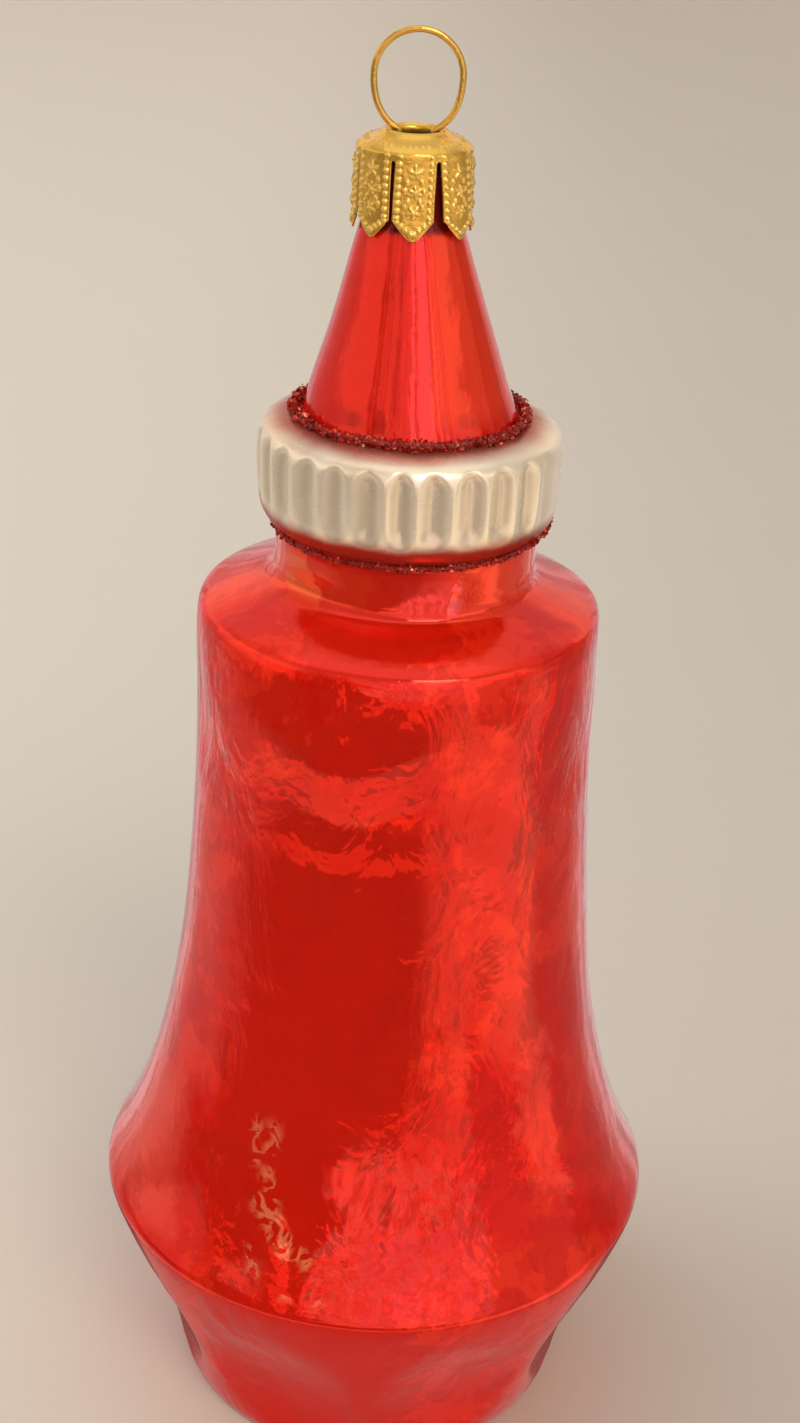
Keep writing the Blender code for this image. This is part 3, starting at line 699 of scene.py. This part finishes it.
def tongue(k, draw):
    """One tongue and its share of the crown: its points, and its relief as a share of a bead's height.

    The sheet lies on the cap's radius and height, pushed out by the stamping. Lower down it is also
    crumpled by sines, swung sideways by the root of how far it hangs, and splayed outwards.
    """
    across = u * tongue_half_width(cap_z, draw.uniform(0.14, 0.26))
    hang = smoothstep(CAP["slot_top"] - cap_z, 0.0, 6.4)
    swing = BENT["front_swing"] if k == 0 else draw.uniform(-0.08, 0.12)
    splay = draw.uniform(-0.05, 0.06)
    if k == BENT["tongue"]:
        swing, splay = BENT["swing"], BENT["splay"]
    crown_beads = domes(across, cap_r + 0 * u, crown_bead_places, CROWN_BEAD["radius"], CROWN_BEAD["height"])
    relief = stamped_relief(across, cap_z + 0 * u) * smoothstep(cap_r, 4.88, 4.95)
    crumple = 0.03 * np.sin(across * 2.3 + k) * np.sin(cap_z * 1.7 + 2 * k) * hang
    lift = crown_beads * smoothstep(cap_z, 126.3, 126.6)
    reach = cap_r + relief + crumple + splay * hang - 0.05 * u ** 4 * hang
    angle = CAP["turn"] + math.tau * k / CAP["tongues"] + (across + swing * np.sqrt(hang)) / CAP["radius"]
    pressed = (relief + lift) / BEAD["height"]
    return turned_grid(reach, angle, cap_z + lift).reshape(-1, 3), pressed.reshape(-1)


draw = np.random.default_rng(7)
tongues = [tongue(k, draw) for k in range(CAP["tongues"])]
cap_faces = np.concatenate([quads + k * grid.size for k in range(CAP["tongues"])]).tolist()
cap = new_piece("stamped_cap", np.concatenate([points for points, relief in tongues]), cap_faces,
                gold_finish("gold_lacquer", 0.18, GOLD, HIGHLIGHT_GOLD))
keep_numbers(cap, "relief", np.concatenate([relief for points, relief in tongues]))
weld = cap.modifiers.new("join_crown", "WELD")
weld.merge_threshold = 0.002 * MM
sheet = cap.modifiers.new("sheet", "SOLIDIFY")
sheet.thickness = CAP["wall"] * MM
sheet.offset = -1.0
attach(cap, "root")
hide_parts("crown_cap")

# The hanging loop: one piece of gold lacquered wire, bent into a ring whose two legs go down
# through the cap's hole. A round section is carried along the ring's centre line.

LOOP = {"wire": 0.29, "radius": 3.68, "centre": 131.95, "shift": -0.36, "bend": 0.06, "pull": 2.4,
        "hip": (2.8, 128.3), "entry_x": 1.5, "entry_z": 127.55, "leg_z": 125.5, "leg_slope": 0.025}
ARC_POINTS, CURVE_POINTS, LEG_POINTS, LOOP_SIDES = 121, 50, 12, 20
WIRE_GOLD = (0.80, 0.53, 0.12)


def loop_line():
    """The wire's centre line in (x, z): a half circle, then a Bezier curve and a straight leg each side."""
    arc = np.linspace(0.0, math.pi, ARC_POINTS)
    top = np.stack([LOOP["radius"] * np.cos(arc), LOOP["centre"] + LOOP["radius"] * np.sin(arc)], axis=1)
    t = np.linspace(0.0, 1.0, CURVE_POINTS)[1:, None]
    ring_end, entry = np.array([LOOP["radius"], LOOP["centre"]]), np.array([LOOP["entry_x"], LOOP["entry_z"]])
    curve = (1 - t) ** 3 * ring_end + 3 * t * (1 - t) ** 2 * (ring_end - [0.0, LOOP["pull"]])
    curve = curve + 3 * t * t * (1 - t) * np.array(LOOP["hip"]) + t ** 3 * entry
    leg_z = np.linspace(LOOP["entry_z"], LOOP["leg_z"], LEG_POINTS)[1:]
    leg = np.stack([LOOP["entry_x"] - LOOP["leg_slope"] * (LOOP["entry_z"] - leg_z), leg_z], axis=1)
    right = np.concatenate([curve, leg])
    return np.concatenate([right[::-1], top, right * [-1.0, 1.0]])


centre_line = loop_line()
heading = np.gradient(centre_line, axis=0)
heading /= np.linalg.norm(heading, axis=1, keepdims=True)
centre_line = centre_line + [LOOP["shift"], 0.0]
bend = LOOP["bend"] * np.sin(np.linspace(0.0, math.tau, len(centre_line)) + 0.5)
section = np.arange(LOOP_SIDES)[None, :] * math.tau / LOOP_SIDES
tube_x = centre_line[:, :1] + LOOP["wire"] * np.cos(section) * heading[:, 1:]
tube_y = bend[:, None] + LOOP["wire"] * np.sin(section)
tube_z = centre_line[:, 1:] - LOOP["wire"] * np.cos(section) * heading[:, :1]
loop_points = np.stack([tube_x, tube_y, tube_z], axis=-1).reshape(-1, 3)
wire_ends = np.stack([[x, y, z] for (x, z), y in zip(centre_line[[0, -1]], bend[[0, -1]])])
loop_faces = closed_faces(len(centre_line), LOOP_SIDES)
loop = new_piece("hanging_loop", np.concatenate([loop_points, wire_ends]), loop_faces,
                 gold_finish("gold_wire", 0.1, WIRE_GOLD))
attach(loop, "root")
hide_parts("wire_loop")

# The table and the backdrop: a plain pale sheet, with painted shade a little darker to the right, and pale
# haze far behind it. Mirror rays pass both by, and see the room's own paler and darker sides instead, as
# the real glass does.

TABLE_SIZE, BACKDROP_RADIUS = 8.0, 3.6
PAPER = {"left": (0.64, 0.645, 0.60), "right": (0.515, 0.515, 0.49), "fibre": (0.8, 0.75, 0.7)}
HAZE = {"dark": (0.52, 0.49, 0.46), "pale": (0.56, 0.53, 0.50)}

bpy.ops.mesh.primitive_plane_add(size=TABLE_SIZE)
table = bpy.context.object
table.name = "table"
table_material, shader, tools, where = new_material("pale_paper")
fibre = tools.noise(where, 0.02, 5.0) * 0.08
across_table = tools.node("ShaderNodeSeparateXYZ", {}, {0: where}, 0)
# The paper painted darker to the right: painted shade, the light falling from the left.
paper_with_painted_shade = across_table.between(-0.09, 0.12).tint(PAPER["left"], PAPER["right"])
feed(shader, "Base Color", fibre.tint(paper_with_painted_shade, PAPER["fibre"]))
feed(shader, "Roughness", 0.75)
table.data.materials.append(table_material)
table.visible_glossy = False

bpy.ops.mesh.primitive_uv_sphere_add(segments=64, ring_count=32, radius=BACKDROP_RADIUS)
backdrop = bpy.context.object
backdrop.name = "backdrop"
backdrop_material, shader, tools, where = new_material("pale_backdrop")
feed(shader, "Base Color", (0.0, 0.0, 0.0))
feed(shader, "Specular IOR Level", 0.0)
feed(shader, "Emission Color", tools.noise(where, 0.0005, 2.0).tint(HAZE["dark"], HAZE["pale"]))
feed(shader, "Emission Strength", 1.0)
backdrop_material.cycles.emission_sampling = "NONE"
backdrop.data.materials.append(backdrop_material)
backdrop.visible_diffuse = False
backdrop.visible_glossy = False
backdrop.visible_shadow = False

# The light: a soft pale room all round, and one soft box high on the left. Low down in front the
# room has a dark gap, right of it a bright window, and above them a lamp. It is painted on the sky
# by direction, one panel over another, with edges stirred by noise.

ROOM = {"pale": (0.42, 0.36, 0.33), "gap": (0.08, 0.06, 0.052)}
FRONT_GAP = {"left": (-108.0, -70.0), "slant": 3.0, "slant_height": 22.0, "right": (48.0, 12.0)}
WINDOW = {"left": (12.0, 48.0), "right": (100.0, 88.0), "colour": (1.12, 0.82, 0.55)}
BACK = {"from": (128.0, 140.0), "low": (0.34, 0.30, 0.28), "high": (0.5, 0.46, 0.44)}
STRIPES = {"wall_dark": (0.3, 0.2, 0.16), "wall": (0.95, 0.68, 0.52),
           "curtain_dark": (1.0, 0.6, 0.5), "curtain": (2.2, 1.6, 1.8)}

# Panels: azimuths from and to, the softness of those edges, what lies over or under a height, and
# its softness, all in degrees, and the colour.
PANELS = {
    "window_bar": {"azimuth": (46.0, 74.0, 1.5), "over": (-22.5, 0.8), "colour": (0.35, 0.27, 0.24)},
    "right_wall": {"azimuth": (94.0, 128.0, 4.0), "colour": (0.30, 0.24, 0.21)},
    "lit_table": {"azimuth": (-62.0, 30.0, 4.0), "under": (-33.0, 0.8), "colour": (1.0, 0.72, 0.45)},
    "left_table": {"azimuth": (-135.0, -64.0, 4.0), "under": (-33.0, 0.8), "colour": (0.8, 0.56, 0.4)},
    "dark_door": {"azimuth": (-74.0, -16.0, 1.5), "colour": (0.03, 0.02, 0.02)},
    "lit_patches": {"azimuth": (-18.0, 50.0, 1.5), "colour": (1.6, 1.1, 0.9)},
    "grey_wall": {"azimuth": (52.0, 96.0, 1.5), "colour": (0.45, 0.37, 0.33)},
    "far_corner": {"azimuth": (96.0, 136.0, 4.0), "colour": (0.2, 0.16, 0.14)},
    "pink_patches": {"azimuth": (-5.0, 48.0, 1.5), "over": (-0.5, 0.8), "colour": (1.3, 1.0, 1.2)},
    "back_streaks": {"over": (-34.0, 2.0), "colour": (0.78, 0.68, 0.68)},
    "back_floor": {"under": (-36.0, 2.0), "colour": (0.2, 0.08, 0.07)},
    "bright_wall": {"azimuth": (44.0, 78.0, 1.5), "colour": (1.25, 1.0, 0.8)},
    "dark_wall": {"azimuth": (78.0, 132.0, 4.0), "colour": (0.16, 0.12, 0.11)},
    "left_wall": {"azimuth": (-118.0, -48.0, 3.0), "over": (6.0, 0.8), "colour": (0.95, 0.7, 0.52)},
    "lamp_right": {"azimuth": (6.0, 40.0, 3.0), "over": (34.0, 2.0), "under": (50.0, 2.0),
                   "colour": (8.0, 6.8, 4.6)},
    "ceiling": {"over": (58.0, 8.0), "colour": (0.92, 0.84, 0.78)},
    "table_glow": {"under": (-46.0, 2.0), "colour": (0.48, 0.23, 0.2)},
}


class Sky:
    """Directions seen from the ornament, in degrees: azimuth from the front to the right, and height."""

    def __init__(self, tools):
        """Azimuth is the arc tangent of x over -y, and height the arc sine of z."""
        direction = tools.node("ShaderNodeTexCoord", {}, {}, 0)
        x, y, z = (tools.node("ShaderNodeSeparateXYZ", {}, {0: direction}, k) for k in range(3))
        self.tools = tools
        self.azimuth = tools.math("ARCTAN2", x, 0.0 - y) * math.degrees(1.0)
        self.height = tools.math("ARCSINE", z) * math.degrees(1.0)

    def noise_at(self, across, up, detail, offset=0.0):
        """Noise at a place worked out from the azimuth and the height."""
        place = self.tools.node("ShaderNodeCombineXYZ", {}, {0: across, 1: up, 2: offset})
        return self.tools.node("ShaderNodeTexNoise", {}, {"Vector": place, "Scale": 1.0, "Detail": detail,
                                                          "Distortion": 0.6})

    def speckle(self, wide, tall, detail, offset):
        """Noise whose features are so many degrees wide and tall."""
        return self.noise_at(self.azimuth * (1.0 / wide), self.height * (1.0 / tall), detail, offset)

    def stir(self):
        """Moves every later edge by noise, sideways and then up or down, most finely 24 degrees down."""
        squeezed = self.tools.math("ARCTANGENT", (self.height + 24.0) * 0.3) * 9.0
        torn = self.noise_at(self.azimuth * (1.0 / 18.0), squeezed, 4.0)
        self.azimuth = self.azimuth + (torn - 0.5) * 45.0
        self.height = self.height + (self.speckle(14.0, 3.0, 4.0, 3.0) - 0.5) * 7.0

    def band(self, low, high, soft):
        """1 between two azimuths and 0 beyond them, with soft edges."""
        return self.azimuth.between(low - soft, low + soft) * self.azimuth.between(high + soft, high - soft)

    def over(self, edge, soft):
        """1 over a height and 0 under it, with a soft edge."""
        return self.height.between(edge - soft, edge + soft)

    def paint(self, room, name, share=None):
        """Tints a panel over the room: the product of its edges, times a share of its own."""
        panel = PANELS[name]
        inside = [] if share is None else [share]
        if "azimuth" in panel:
            inside.append(self.band(*panel["azimuth"]))
        if "over" in panel:
            inside.append(self.over(*panel["over"]))
        if "under" in panel:
            inside.append(self.over(*panel["under"]).between(1.0, 0.0))
        return math.prod(inside[1:], start=inside[0]).tint(room, panel["colour"])


def low_room(sky):
    """Below eye height: pale, with a dark gap in front, a window right of it, and the table's lit edges."""
    slant = (sky.height + FRONT_GAP["slant_height"]) * FRONT_GAP["slant"]
    gap = (sky.azimuth + slant).between(*FRONT_GAP["left"]) * sky.azimuth.between(*FRONT_GAP["right"])
    room = gap.tint(ROOM["pale"], ROOM["gap"])
    window = sky.azimuth.between(*WINDOW["left"]) * sky.azimuth.between(*WINDOW["right"])
    room = window.tint(room, WINDOW["colour"])
    for name in ("window_bar", "right_wall", "lit_table", "left_table"):
        room = sky.paint(room, name)
    return room


def middle_room(sky, patches):
    """At eye height: a dark door to the left, then walls, with torn patches of light in front."""
    room = sky.paint(ROOM["pale"], "dark_door")
    room = sky.paint(room, "lit_patches", patches * 0.85 + 0.15)
    room = sky.paint(room, "grey_wall")
    room = sky.paint(room, "far_corner")
    return sky.paint(room, "pink_patches", patches * 0.75 + 0.25)


def high_room(sky):
    """Above the eye: a striped wall and a brighter striped curtain, then a bright and a dark wall."""
    stripes = sky.speckle(6.0, 90.0, 3.0, 9.0).between(0.42, 0.56)
    wall = stripes.tint(STRIPES["wall_dark"], STRIPES["wall"])
    room = sky.band(-52.0, -8.0, 1.5).tint(PANELS["left_wall"]["colour"], wall)
    room = sky.band(-8.0, 44.0, 1.5).tint(room, stripes.tint(STRIPES["curtain_dark"], STRIPES["curtain"]))
    room = sky.paint(room, "bright_wall")
    return sky.paint(room, "dark_wall")


def soft_room():
    """The world: low, middle and high parts of the room, its back, then lamp, ceiling and table's glow."""
    world = bpy.data.worlds.new("soft_room")
    bpy.context.scene.world = world
    world.use_nodes = True
    sky = Sky(Wire(world.node_tree))
    patches = sky.speckle(5.0, 2.4, 4.0, 7.0).between(0.46, 0.54)
    behind = sky.tools.math("ABSOLUTE", sky.azimuth).between(*BACK["from"])
    streaks = sky.speckle(4.0, 40.0, 2.0, 5.0).between(0.4, 0.6)
    sky.stir()

    room = sky.over(-10.5, 1.5).tint(low_room(sky), middle_room(sky, patches))
    room = sky.paint(room, "back_streaks", behind * streaks)
    room = sky.paint(room, "back_floor", behind)
    room = sky.paint(room, "left_wall")
    room = sky.over(14.0, 1.0).tint(room, high_room(sky))
    room = sky.over(30.0, 5.0).tint(room, behind.tint(BACK["low"], BACK["high"]))
    for name in ("lamp_right", "ceiling", "table_glow"):
        room = sky.paint(room, name)
    background = world.node_tree.nodes["Background"]
    feed(background, "Color", room)
    feed(background, "Strength", 1.0)


KEY_LIGHT = {"place": (-0.7, 0.1, 0.85), "aim": (0.0, 0.0, 0.07), "size": 0.8, "power": 4.0,
             "colour": (1.0, 0.97, 0.93)}


def soft_box(name, place, aim, size, power, colour):
    """A square area light at a place, tilted and turned by the angles of the line to it from its aim."""
    lamp = bpy.data.lights.new(name, "AREA")
    lamp.size = size
    lamp.energy = power
    lamp.color = colour
    holder = bpy.data.objects.new(name, lamp)
    bpy.context.scene.collection.objects.link(holder)
    holder.location = place
    facing = np.array(place) - np.array(aim)
    flat = math.hypot(facing[0], facing[1])
    holder.rotation_euler = (math.atan2(flat, facing[2]), 0.0, math.atan2(facing[0], -facing[1]))
    return holder


soft_room()
soft_box("key_light", **KEY_LIGHT).visible_glossy = False

# The camera: held in the hand in front of the ornament, close by and a little above it, looking
# down and leaning slightly to one side. Colours are shown plainly, with no film look.

CAMERA = {"lens": 54.09, "place": (0.0005, -0.181, 0.161), "down": 25.7, "lean": 2.62, "nearest": 0.005}
camera_data = bpy.data.cameras.new("camera")
camera_data.lens = CAMERA["lens"]
camera_data.clip_start = CAMERA["nearest"]
camera = bpy.data.objects.new("camera", camera_data)
bpy.context.scene.collection.objects.link(camera)
camera.location = CAMERA["place"]
tilted = Quaternion((1, 0, 0), math.radians(90.0 - CAMERA["down"]))
leaning = Quaternion((0, 0, 1), math.radians(CAMERA["lean"]))
camera.rotation_mode = "QUATERNION"
camera.rotation_quaternion = tilted @ leaning
bpy.context.scene.camera = camera
bpy.context.scene.view_settings.view_transform = "Standard"
